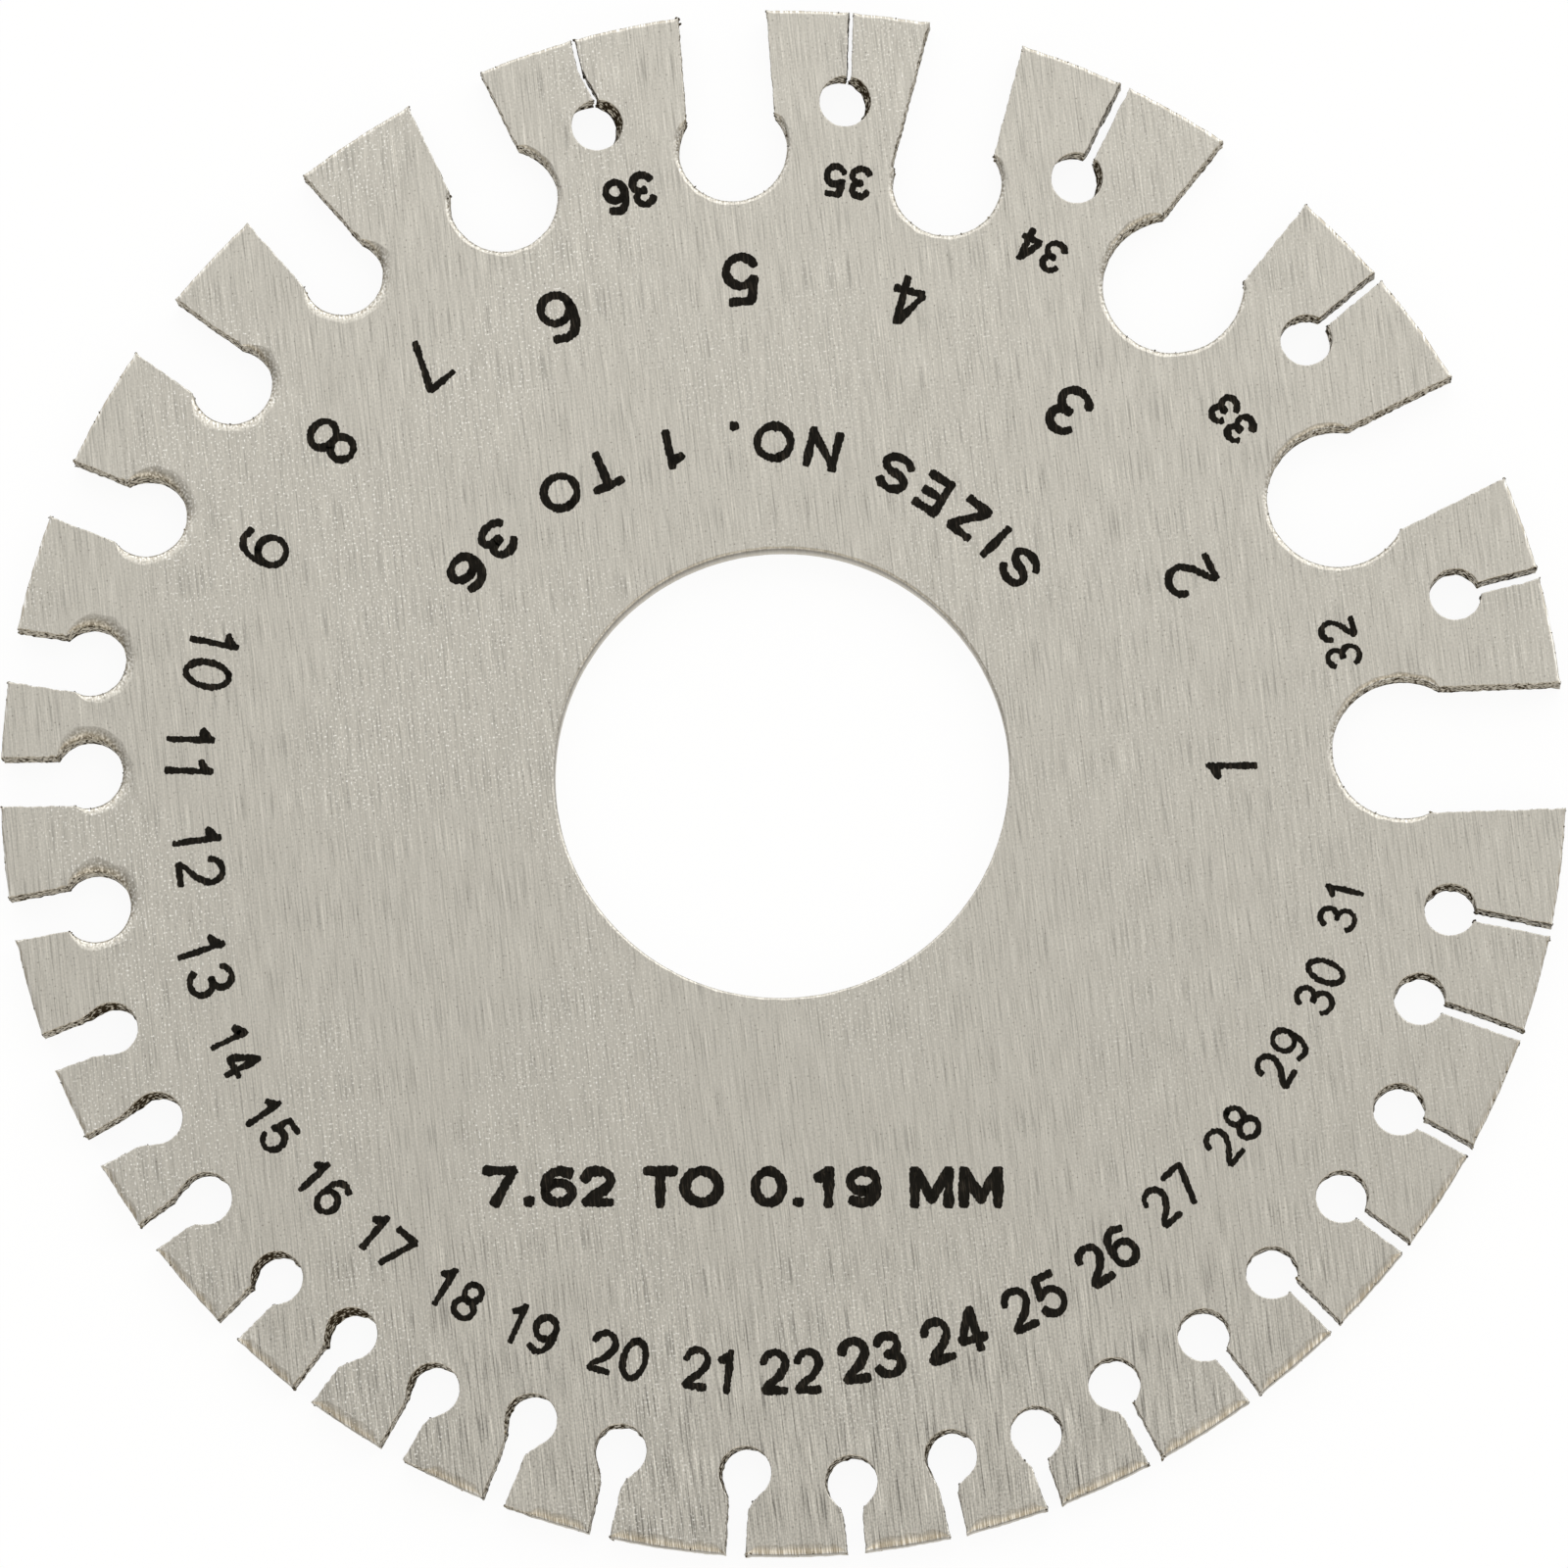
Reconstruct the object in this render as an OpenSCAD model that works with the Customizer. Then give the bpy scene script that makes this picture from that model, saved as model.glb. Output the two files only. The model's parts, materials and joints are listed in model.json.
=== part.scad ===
// Round wire gauge plate: one flat stainless disc with a finger hole in the middle and 36 numbered
// keyhole slots round the rim. A wire is tried in the parallel slot and leaves through the relief hole.

/* [Plate] */
// Diameter over the rim
plate_d = 95.25; // [90:0.25:110]
// Thickness of the sheet
plate_t = 2; // [1:0.1:4]
// Diameter of the finger hole in the middle
finger_hole_d = 27.7; // [8:0.1:40]
// Bevel on the numbered face's rim
rim_bevel = 0.3; // [0.05:0.05:0.45]
// Edge break on the back face's rim and on both ends of the finger hole
edge_break = 0.15; // [0.05:0.05:0.4]

/* [Slots] */
// Size over the gauge size to which slots 1 to 17 are punched
punched_over = 0.08; // [0:0.01:0.3]
// Size over the gauge size to which slots 18 to 34 are sawn
sawn_over = 0.44; // [0:0.01:0.5]
// Size over the gauge size to which slits 35 and 36 are cut by hand
slit_over = 0.08; // [0:0.01:0.3]

/* [Relief holes] */
// Relief hole of slots 1 to 3
relief_1_to_3 = 8.65; // [7.75:0.05:9.5]
// Relief hole of slots 4 to 6
relief_4_to_6 = 6.7; // [6:0.05:7.2]
// Relief hole of slots 7 to 9
relief_7_to_9 = 4.95; // [4.6:0.05:5.6]
// Relief hole of slots 10 to 12
relief_10_to_12 = 4.3; // [3.4:0.05:5]
// Relief hole of slots 13 to 36
relief_13_to_36 = 3.15; // [2.5:0.05:3.6]
// Depth to which the punch rolled over the edge of relief holes 1 to 12
die_roll_depth = 0.3; // [0.05:0.05:0.5]
// Width of that rolled edge on the numbered face
die_roll_width = 0.5; // [0.1:0.05:0.8]

/* [Hidden] */
$fn = 96;

mm_per_thou = 0.0254;
plate_r = plate_d / 2;
finger_hole_r = finger_hole_d / 2;
// How far a cut runs past the surface that it opens
past = 1;
// Flats that make up the section of a rolled edge
roll_steps = 4;
// Last slot that is punched, last that is sawn, and last whose relief hole has a rolled edge
last_punched = 17;
last_sawn = 34;
last_rolled = 12;

// Places of the slots in the order of their numbers. They were laid out by hand and follow no rule:
// bearing from +X, anticlockwise (deg), distance from the rim in to the relief hole's centre (mm), and
// how far that centre lies off the slot's own line, anticlockwise (mm)
slot_places = [
    [2, 9.8, 0.2], [26.75, 9.7, 0], [51.75, 9, 0.1],
    [75.75, 9.5, -0.6], [94.75, 8.5, 0], [116.25, 7.8, -0.3],
    [131.25, 6.4, 0], [144.25, 6, 0.2], [158.25, 5.5, -0.3],
    [171.25, 4.8, -0.4], [180.75, 5.3, -0.5], [191, 5.1, 0.2],
    [201.25, 4.1, 0], [209.25, 4.3, 0.1], [216.75, 4.2, 0.2], [225.75, 4.3, -0.1],
    [233, 4.7, 0.1], [240.75, 4.6, 0.3], [249, 5.4, 0.3], [257, 5.2, 0.1],
    [267, 4.9, 0.3], [275.75, 4.2, 0.1], [283.25, 4.7, 0.6], [290.5, 4.5, 0.5],
    [298.5, 5.2, 0], [307, 4.8, -0.2], [314.75, 5, -0.4], [322.5, 4.9, 0.1],
    [331, 4.9, 0.1], [340.25, 6.5, 0], [348.25, 6.2, 0],
    [15, 5.2, 0], [40.25, 5.9, -0.2], [64, 6.5, 0.1], [85.25, 5.6, -0.2], [106, 5.6, 0],
];
slot_count = len(slot_places);

// The hand-cut slits wander off their line: [distance out from the relief hole's centre, offset] (mm)
slit_bends = [
    [[0, -0.5], [1.5, -0.3]],
    [[0, -0.7], [3.6, 0.1]],
];

// Step in thousandths of an inch from one gauge number to the next, by the imperial standard table
function gauge_step(n) =
    n <= 3 ? 24 :
    n <= 6 ? 20 :
    n <= 10 ? 16 :
    n <= 14 ? 12 :
    n <= 19 ? 8 :
    n <= 23 ? 4 :
    n <= 26 ? 2 :
    n <= 28 ? 1.6 :
    n <= 30 ? 1.2 : 0.8;

// Wire size of a gauge number: number 1 is 0.300 in, and each next one is a step smaller
function gauge_thou(n) = n == 1 ? 300 : gauge_thou(n - 1) - gauge_step(n);

function slot_over(n) =
    n <= last_punched ? punched_over :
    n <= last_sawn ? sawn_over : slit_over;

function slot_width(n) = gauge_thou(n) * mm_per_thou + slot_over(n);

function relief_d(n) =
    n <= 3 ? relief_1_to_3 :
    n <= 6 ? relief_4_to_6 :
    n <= 9 ? relief_7_to_9 :
    n <= 12 ? relief_10_to_12 : relief_13_to_36;

// Middle line of a slot from its relief hole out past the rim: straight, or bent for a hand-cut slit
function slot_line(n, depth) =
    n <= last_sawn
        ? [[0, 0], [depth + past, 0]]
        : concat(slit_bends[n - last_sawn - 1], [[depth + past, 0]]);

// Disc with its finger hole, as one turned section with broken edges
module blank() {
    rotate_extrude()
        polygon([
            [finger_hole_r, edge_break],
            [finger_hole_r + edge_break, 0],
            [plate_r - edge_break, 0],
            [plate_r, edge_break],
            [plate_r, plate_t - rim_bevel],
            [plate_r - rim_bevel, plate_t],
            [finger_hole_r + edge_break, plate_t],
            [finger_hole_r, plate_t - edge_break],
        ]);
}

// Ring-shaped cut that rounds the upper edge of a hole of radius r, as a quarter ellipse in section
module die_roll(r) {
    curve = [
        for (i = [0 : roll_steps])
            let (a = 90 * i / roll_steps)
                [r + die_roll_width * (1 - cos(a)), plate_t - die_roll_depth * (1 - sin(a))]
    ];
    rotate_extrude()
        polygon(concat(
            [[0, plate_t - die_roll_depth]],
            curve,
            [[r + die_roll_width, plate_t + past], [0, plate_t + past]]
        ));
}

// Parallel-sided cut right through the sheet along a line of points
module slot_along(line, width) {
    half = width / 2;
    for (i = [1 : len(line) - 1]) {
        from = line[i - 1];
        to = line[i];
        translate([0, 0, -past])
            linear_extrude(plate_t + 2 * past)
                polygon([
                    [from[0], from[1] - half],
                    [to[0], to[1] - half],
                    [to[0], to[1] + half],
                    [from[0], from[1] + half],
                ]);
    }
}

// Everything that is cut away for one numbered slot
module slot_cut(n) {
    bearing = slot_places[n - 1][0];
    depth = slot_places[n - 1][1];
    aside = slot_places[n - 1][2];
    rotate([0, 0, bearing])
        translate([plate_r - depth, 0, 0]) {
            slot_along(slot_line(n, depth), slot_width(n));
            translate([0, aside, -past])
                cylinder(d = relief_d(n), h = plate_t + 2 * past);
            if (n <= last_rolled)
                translate([0, aside, 0])
                    die_roll(relief_d(n) / 2);
        }
}

module gauge_plate() {
    color("silver")
        difference() {
            blank();
            for (n = [1 : slot_count])
                slot_cut(n);
        }
}

gauge_plate();
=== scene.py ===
"""Looks of a round wire gauge plate, laid out as a Blender add-on and run as a script.

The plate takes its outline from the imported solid. Its cut edges get the roll, the burrs and the uneven
line that punching, drilling and sawing leave, its faces the brushing of the sheet, and its front the black
numbers.
"""

import json
import math

import bmesh
import bpy
from bpy.props import FloatProperty, FloatVectorProperty, IntProperty, PointerProperty
from mathutils import Matrix, Vector, noise
from mathutils.geometry import delaunay_2d_cdt


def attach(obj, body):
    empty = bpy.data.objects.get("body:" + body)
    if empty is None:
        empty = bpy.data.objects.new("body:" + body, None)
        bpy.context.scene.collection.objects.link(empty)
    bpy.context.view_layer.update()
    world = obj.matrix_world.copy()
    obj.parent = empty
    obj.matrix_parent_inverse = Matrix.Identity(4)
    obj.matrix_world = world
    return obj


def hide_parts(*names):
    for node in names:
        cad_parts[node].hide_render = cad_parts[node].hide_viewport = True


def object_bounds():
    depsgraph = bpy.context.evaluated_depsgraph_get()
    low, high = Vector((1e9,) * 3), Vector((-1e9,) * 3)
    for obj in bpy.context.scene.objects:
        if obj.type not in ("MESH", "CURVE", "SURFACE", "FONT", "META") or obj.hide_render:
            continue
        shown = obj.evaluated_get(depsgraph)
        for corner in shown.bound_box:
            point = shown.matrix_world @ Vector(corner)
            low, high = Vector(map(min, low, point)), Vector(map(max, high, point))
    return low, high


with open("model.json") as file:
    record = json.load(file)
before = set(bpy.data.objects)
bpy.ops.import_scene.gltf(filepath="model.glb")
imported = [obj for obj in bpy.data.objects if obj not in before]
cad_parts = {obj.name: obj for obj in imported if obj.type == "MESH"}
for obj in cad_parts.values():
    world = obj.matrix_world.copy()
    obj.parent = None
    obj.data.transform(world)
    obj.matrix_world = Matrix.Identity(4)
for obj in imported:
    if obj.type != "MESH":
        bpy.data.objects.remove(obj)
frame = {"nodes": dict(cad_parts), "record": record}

bl_info = {
    "name": "Wire gauge plate",
    "version": (1, 0),
    "blender": (4, 5, 0),
    "location": "3D View > Sidebar > Gauge",
    "description": "Builds a brushed, punched and numbered wire gauge plate on its solid",
    "category": "Add Mesh",
}

MM = 0.001
BODY = "root"
PLATE_NODE = "gauge_plate"
CAD_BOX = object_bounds()
PLATE_R = max(CAD_BOX[1][0], CAD_BOX[1][1])
THICKNESS = CAD_BOX[1][2] - CAD_BOX[0][2]
FINGER_HOLE_R = next(
    mount["dims"]["r_mm"] * MM for mount in frame["record"]["mounts"] if mount["name"] == "finger_hole"
)

# Corners of the solid that lie nearer than the first are one, and those that lie nearer to its lowest level
# than the second are on its back face (m)
WELD_DISTANCE = 1e-7
LEVEL_SLACK = 1e-6
# A turn below the first is none in the solid's outline, and one above the second is a corner in the fine one
INLINE_TURN = math.radians(0.2)
CORNER_TURN = math.radians(14)
# Twice the cross product (m2) below which three points lie on a straight line
STRAIGHT = 1e-14
# Circles whose centres lie nearer than this are one
SAME_CENTRE = 0.02 * MM
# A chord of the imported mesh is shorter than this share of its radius, and a slot's straight side longer
LONGEST_CHORD = 0.45
# How far in the noise one seed lies from the next
SEED_STEP = 31.7
# Heights off the plate (m), so that the noise for one use has nothing to do with that for another
DEPTH_NOISE, BURR_NOISE, EXIT_NOISE = 5, 9, 13
NECK_NOISE = 0.017
# Settings of a Mix node for colours, and the numbers of its two colour inputs, whose names are not unique
COLOUR_MIX = {"out": 2, "data_type": "RGBA"}
MIX_A, MIX_B = 6, 7
# Number of the Random Value node's boolean output
RANDOM_BOOLEAN = 3

# Kinds of edge that the outline runs through
RIM, FINGER_HOLE, LARGE_RELIEF, PUNCHED_RELIEF, DRILLED_RELIEF, SLOT = range(6)
# Looks that the plate's material mixes, by the share that each point of its mesh has of them
EDGE_SHARES = ("wall", "roll", "roll_shade", "rim", "torn")
# A relief hole of at least this radius was punched, and a smaller one drilled
PUNCHED_R = 2 * MM
# One of at least this radius was punched with less roll
LARGE_R = 3 * MM
# An arc of a larger radius than this is the rim's or the finger hole's, not a relief hole's
LARGEST_RELIEF_R = 6 * MM
# Holes in which the drill leaned: their bearing from +X (deg), and how far the end at the back lies off the
# end at the front, to +X and to +Y (mm)
DRILL_LEANS = (
    (40.25, -0.1, 0),
    (64, -0.37, 0.05),
    (85.25, -0.4, 0.05),
    (106, -0.5, 0),
    (201.25, 0.08, -0.17),
    (209.25, 0.1, -0.15),
    (225.75, 0.15, -0.18),
    (233, 0.2, -0.3),
    (240.75, 0.16, -0.1),
    (249, 0.15, -0.03),
    (267, 0.15, 0),
    (275.75, 0.1, -0.03),
    (283.25, 0.15, -0.05),
    (290.5, -0.08, 0),
    (307, 0, -0.08),
    (322.5, -0.05, 0),
    (331, 0.05, -0.1),
    (340.25, 0, -0.12),
    (348.25, 0, -0.12),
)
# Half the angle in which a drilled hole lies round its bearing (deg)
DRILLED_SPAN = 3.5


def linear(hex_colour):
    """Scene-linear red, green and blue of an sRGB hex colour."""
    values = [int(hex_colour[i : i + 2], 16) / 255 for i in (1, 3, 5)]
    return tuple(v / 12.92 if v <= 0.04045 else ((v + 0.055) / 1.055) ** 2.4 for v in values)


def clamped(value, least=0.0, most=1.0):
    """A value, held between two bounds."""
    return min(most, max(least, value))


def opaque(colour):
    """A colour property's value as a socket takes it, with full alpha."""
    return (*colour, 1)


def in_mm(name, description, default):
    """A length that a user can change, with its default in mm."""
    return FloatProperty(name=name, description=description, default=default * MM, unit="LENGTH")


def in_degrees(name, description, default):
    """An angle that a user can change, with its default in degrees."""
    return FloatProperty(name=name, description=description, default=math.radians(default), subtype="ANGLE")


def tint(name, description, default):
    """A colour that a user can change, with its default as an sRGB hex colour."""
    return FloatVectorProperty(name=name, description=description, subtype="COLOR", default=linear(default))


class EdgeSizes(bpy.types.PropertyGroup):
    """How the edges were left by the tools that cut them"""

    step: in_mm("Outline step", "Distance between points along the outline", 0.16)
    roll_width: in_mm("Die roll width", "Width of the rolled edge round a punched relief hole", 0.8)
    large_roll: in_mm(
        "Large hole roll", "Width and depth of the rolled edge round the largest relief holes", 0.3
    )
    roll_depth: in_mm("Die roll depth", "Depth of the rolled edge round a punched relief hole", 0.3)
    rim_round: in_mm(
        "Rim rounding width", "Width of the worn rounding of the rim's edge on the numbered face", 0.6
    )
    rim_drop: in_mm(
        "Rim rounding depth", "Depth of the worn rounding of the rim's edge on the numbered face", 0.3
    )
    hole_round: in_mm(
        "Finger hole rounding", "Rounding of the finger hole's edges and of the rim's edge on the back", 0.15
    )
    cut_break: in_mm("Cut edge break", "Edge break that brushing left on slots and drilled holes", 0.05)
    slot_uneven: in_mm("Slot unevenness", "How far a slot's edge strays from its line", 0.075)
    rim_uneven: in_mm("Rim unevenness", "How far the rim's edge strays from its circle", 0.045)
    hole_uneven: in_mm("Hole unevenness", "How far a hole's edge strays from its circle", 0.03)
    neck_break: in_mm(
        "Neck break", "How far corners between slot and relief hole are broken off along the lower rim", 0.3
    )
    neck_reach: in_mm("Neck reach", "How far along the cut such a broken corner runs", 0.65)
    exit_burr: in_mm(
        "Exit burr", "How far the ragged burr at the back end of a drilled hole stands out", 0.2
    )
    corner_burr: in_mm("Corner burr", "How far the burr at a tooth's corner stands out", 0.2)
    crumb: in_mm("Burr crumb", "Size of the metal crumbs left along the cut edges", 0.075)
    corner_crumb: in_mm("Corner crumb", "Size of the burrs on the corners of the teeth", 0.16)
    seed: IntProperty(name="Seed", description="Seed of all the unevenness", default=7)


class PlateFinish(bpy.types.PropertyGroup):
    """Colours and grain of the sheet and of the marking"""

    steel: tint("Steel", "Brushed face of the sheet", "#BFBBB1")
    # Painted highlight: colour of the bright specks on grains, on the rolls and on the rim's rounding
    glint: tint("Glint", "Bare metal on grains and edges that catch the light", "#F2F0EA")
    turned_wall: tint("Turned wall", "Smooth walls of the rim and the finger hole", "#B5AE9F")
    turned_wall_dark: tint("Turned wall, dark", "Those walls under the front edge", "#6E6656")
    torn_wall: tint("Torn wall", "Punched, drilled and sawn walls of the slots and relief holes", "#A0967F")
    # Also the colour of the painted shade in the rolls on the holes' upper and right sides, and on drilled
    # walls
    torn_wall_dark: tint("Torn wall, dark", "Hollows in those walls, with dirt in them", "#3F372B")
    stain: tint("Stain", "Brown stain in the rolled edges and along the rim", "#AEA492")
    ink: tint("Marking", "Black of the numbers and lettering", "#15130F")
    ink_worn: tint("Marking, worn", "Marking where the brushed metal shows through", "#332E27")
    brush_lean: in_degrees("Brush lean", "Lean of the brush lines from the plate's Y axis", 7)
    brush_width: in_mm("Brush line width", "Width of the finest brush lines that show", 0.085)


class MarkSizes(bpy.types.PropertyGroup):
    """Sizes of the numbers and lettering"""

    number_scale: FloatProperty(
        name="Number size", description="Factor on the heights of the numbers", default=1, subtype="FACTOR"
    )
    stroke_scale: FloatProperty(
        name="Stroke", description="Factor on the strokes of the numbers", default=0.9, subtype="FACTOR"
    )
    line_stroke: in_mm("Lettering stroke", "Stroke of the two lines of lettering", 0.6)
    line_height: in_mm("Lettering height", "Height of the two lines of lettering", 2.55)
    sample: in_mm("Stroke step", "Distance between points along a stroke", 0.08)
    ink_height: FloatProperty(
        name="Ink thickness",
        description="Thickness of the ink as a share of half its stroke",
        default=0.05,
    )
    ragged: in_mm("Ragged edge", "How far the ink's edge strays, most along the brush lines", 0.3)


class StudioStage(bpy.types.PropertyGroup):
    """Camera, floor and light"""

    distance: FloatProperty(
        name="Camera distance",
        description="From the plate's middle to the camera",
        default=0.58,
        unit="LENGTH",
    )
    lean_front: in_degrees("Lean to the front", "Lean of the view from straight down, towards -Y", 9.6)
    lean_right: in_degrees("Lean to the right", "Lean of the view from straight down, towards +X", 2.0)
    field: in_mm("Field", "Width of the view at the plate", 95.36)
    aim_right: in_mm("Aim right", "Aim beside the plate's middle", 0.16)
    aim_up: in_mm("Aim up", "Aim above the plate's middle", -0.72)
    floor_radius: FloatProperty(
        name="Floor radius", description="Radius of the floor", default=4, unit="LENGTH"
    )
    floor_white: tint("Floor", "Colour of the floor", "#F7F7F5")
    floor_glow: FloatProperty(
        name="Floor white",
        description="Share of the floor that shows as plain white, so that the slots look open",
        default=0.93,
        subtype="FACTOR",
    )
    light_front: FloatProperty(
        name="Light from the front", description="Strength of the room's light from -Y", default=0.33
    )
    light_back: FloatProperty(
        name="Light from the back", description="Strength of the room's light from +Y", default=1.85
    )
    light_low: FloatProperty(
        name="Light low in front", description="Strength that the light gains low down at -Y", default=0.8
    )
    light_right: FloatProperty(
        name="Light from the right", description="Share that the light gains towards +X", default=0.3
    )
    front_colour: tint("Front", "Colour of the light from -Y", "#F2EADC")


def add(tree, kind, inputs=(), out=0, **settings):
    """Adds one node with its settings, sets or links its inputs, and gives one of its outputs.

    Inputs are given by name or number, or in their order. A Map Range node's are the value, the two ends that
    it runs between, and the two ends that these become.
    """
    made = tree.nodes.new(kind)
    for name, value in settings.items():
        setattr(made, name, value)
    for key, value in inputs.items() if isinstance(inputs, dict) else enumerate(inputs):
        if isinstance(value, bpy.types.NodeSocket):
            tree.links.new(value, made.inputs[key])
        else:
            made.inputs[key].default_value = value
    return made.outputs[out] if made.outputs else None


def new_material(name):
    """An empty node material and its tree."""
    material = bpy.data.materials.new(name)
    material.use_nodes = True
    material.node_tree.nodes.clear()
    return material, material.node_tree


def brushed_steel(finish):
    """Stainless sheet, belt-brushed in one direction.

    It gives the eye a warm grey satin face of fine lines, with deep scratches, pitted spots and painted
    highlights as bright specks, smooth walls where it was turned, and torn brown ones where it was punched,
    drilled or sawn. Painted shade darkens the rolls on the holes' upper and right sides and the drilled walls
    that the drill pressed on.
    """
    material, tree = new_material("stainless_sheet_brushed")
    place = add(tree, "ShaderNodeTexCoord", out="Object")
    # Millimetres, with Y along the brush lines
    brushed = add(
        tree,
        "ShaderNodeMapping",
        {"Vector": place, "Rotation": (0, 0, -finish.brush_lean), "Scale": (1 / MM, 1 / MM, 1 / MM)},
    )

    def streaks(width, length, detail, shift):
        """Noise drawn out along the brush lines, a width by a length in mm."""
        drawn = add(
            tree,
            "ShaderNodeVectorMath",
            (brushed, (1 / width, 1 / length, 0), (shift, shift, 0)),
            operation="MULTIPLY_ADD",
        )
        return add(
            tree,
            "ShaderNodeTexNoise",
            {"Vector": drawn, "Scale": 1, "Detail": detail, "Roughness": 0.6},
            noise_dimensions="2D",
        )

    # Grit 180 leaves lines of about 0.02 mm. They are drawn coarser, because such lines don't show
    line = finish.brush_width / MM
    fine = streaks(line, 34 * line, 1, 0)
    scratches = streaks(1.2 * line, 42 * line, 0, 37)
    grains = streaks(1.5 * line, 1.7 * line, 0, 5)
    # Each layer of the face, with the range of noise that it takes and the shades that this gives
    layers = (
        (fine, 0.25, 0.75, 0.865, 1.135),
        (grains, 0.25, 0.75, 0.945, 1.055),
        (streaks(3.2 * line, 90 * line, 0, 11), 0.25, 0.75, 0.97, 1.03),
        (scratches, 0.32, 0.22, 1, 0.76),
        (scratches, 0.72, 0.84, 1, 1.16),
    )
    tone = 1
    for noise_value, low, high, least, most in layers:
        shade = add(tree, "ShaderNodeMapRange", (noise_value, low, high, least, most))
        tone = add(tree, "ShaderNodeMath", (tone, shade), operation="MULTIPLY")
    # The lines are coarser along the lower rim
    parts = add(tree, "ShaderNodeSeparateXYZ", {"Vector": place}).node.outputs
    coarse = add(tree, "ShaderNodeMapRange", (parts["Y"], -0.5 * PLATE_R, -0.92 * PLATE_R, 0.92, 2))
    swing = add(tree, "ShaderNodeMath", (tone, 1), operation="SUBTRACT")
    tone = add(tree, "ShaderNodeMath", (swing, coarse, 1), operation="MULTIPLY_ADD")
    face = add(tree, "ShaderNodeVectorMath", {0: finish.steel, "Scale": tone}, operation="SCALE")

    # Mottling of the stained and the torn parts, in patches of a size (mm)
    patch = 0.22
    mottle = add(tree, "ShaderNodeTexNoise", {"Vector": brushed, "Scale": 1 / patch, "Detail": 0})
    wall, roll, roll_shade, rim, torn = (
        add(tree, "ShaderNodeAttribute", out="Fac", attribute_name=name) for name in EDGE_SHARES
    )
    # Painted highlights: the bright grains lie in patches, most of them towards -X
    sparkling_most = add(tree, "ShaderNodeMapRange", (parts["X"], 0.5 * PLATE_R, -0.4 * PLATE_R, 0.3, 0.9))
    sparkling = add(tree, "ShaderNodeMapRange", (streaks(9, 14, 0, 71), 0.4, 0.62, 0.05, sparkling_most))
    # What lies on the face, with painted shade in the rolls among the dark specks and painted highlights
    # among the bright
    # ones: in which part, by which noise, over which range of it, and how strong at most
    stains = ((roll, mottle, 0.45, 0.66, 0.6), (rim, fine, 0.6, 0.36, 0.75))
    pits_and_shade = (
        (1, grains, 0.17, 0.12, 0.45),
        (roll, grains, 0.36, 0.26, 0.5),
        (roll_shade, mottle, 0.36, 0.58, 0.8),
    )
    painted_glints = (
        (1, grains, 0.74, 0.82, sparkling),
        (roll, grains, 0.56, 0.66, 0.85),
        (rim, fine, 0.52, 0.64, 0.9),
    )
    coverings = ((finish.stain, stains), (finish.torn_wall_dark, pits_and_shade), (finish.glint, painted_glints))
    for covering, spread in coverings:
        share = 0
        for part, noise_value, low, high, most in spread:
            strength = add(tree, "ShaderNodeMapRange", (noise_value, low, high, 0, most))
            here = add(tree, "ShaderNodeMath", (part, strength), operation="MULTIPLY")
            share = add(tree, "ShaderNodeMath", (share, here), operation="MAXIMUM")
        face = add(
            tree, "ShaderNodeMix", {"Factor": share, MIX_A: face, MIX_B: opaque(covering)}, **COLOUR_MIX
        )

    # Turned walls are dark under the front edge and bright below, torn ones are mottled, most at the back
    under_edge = add(tree, "ShaderNodeMapRange", (parts["Z"], 0.3 * THICKNESS, 0.75 * THICKNESS))
    turned_wall = add(
        tree,
        "ShaderNodeMix",
        {"Factor": under_edge, MIX_A: opaque(finish.turned_wall), MIX_B: opaque(finish.turned_wall_dark)},
        **COLOUR_MIX,
    )
    at_back = add(tree, "ShaderNodeMapRange", (parts["Z"], 0.4 * THICKNESS, 0, 0, 0.14))
    # Where the share of tearing is over 1, the wall gets painted shade as well
    painted_wall_shade = add(tree, "ShaderNodeMapRange", (torn, 1, 2, 0, 0.15))
    dark = add(tree, "ShaderNodeMath", (at_back, painted_wall_shade), operation="MAXIMUM")
    depth = add(tree, "ShaderNodeMath", (mottle, dark), operation="ADD")
    hollows_and_shade = add(tree, "ShaderNodeMapRange", (depth, 0.49, 0.6))
    torn_wall = add(
        tree,
        "ShaderNodeMix",
        {"Factor": hollows_and_shade, MIX_A: opaque(finish.torn_wall), MIX_B: opaque(finish.torn_wall_dark)},
        **COLOUR_MIX,
    )
    cut_wall = add(
        tree, "ShaderNodeMix", {"Factor": torn, MIX_A: turned_wall, MIX_B: torn_wall}, **COLOUR_MIX
    )
    colour = add(tree, "ShaderNodeMix", {"Factor": wall, MIX_A: face, MIX_B: cut_wall}, **COLOUR_MIX)
    # Dark patches of the torn walls, dirt in hollow places and painted shade, are dull and no metal
    dirt_and_shade = add(tree, "ShaderNodeMath", (hollows_and_shade, torn), operation="MULTIPLY", use_clamp=True)
    wall_dirt_and_shade = add(tree, "ShaderNodeMath", (dirt_and_shade, wall), operation="MULTIPLY")
    bare = add(tree, "ShaderNodeMath", (1, wall_dirt_and_shade), operation="SUBTRACT")

    roughness = add(tree, "ShaderNodeMapRange", (fine, 0.25, 0.75, 0.44, 0.34))
    steel = add(
        tree,
        "ShaderNodeBsdfPrincipled",
        {"Base Color": colour, "Metallic": bare, "Roughness": roughness, "Specular IOR Level": 0},
    )
    add(tree, "ShaderNodeOutputMaterial", {"Surface": steel})
    return material


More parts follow.
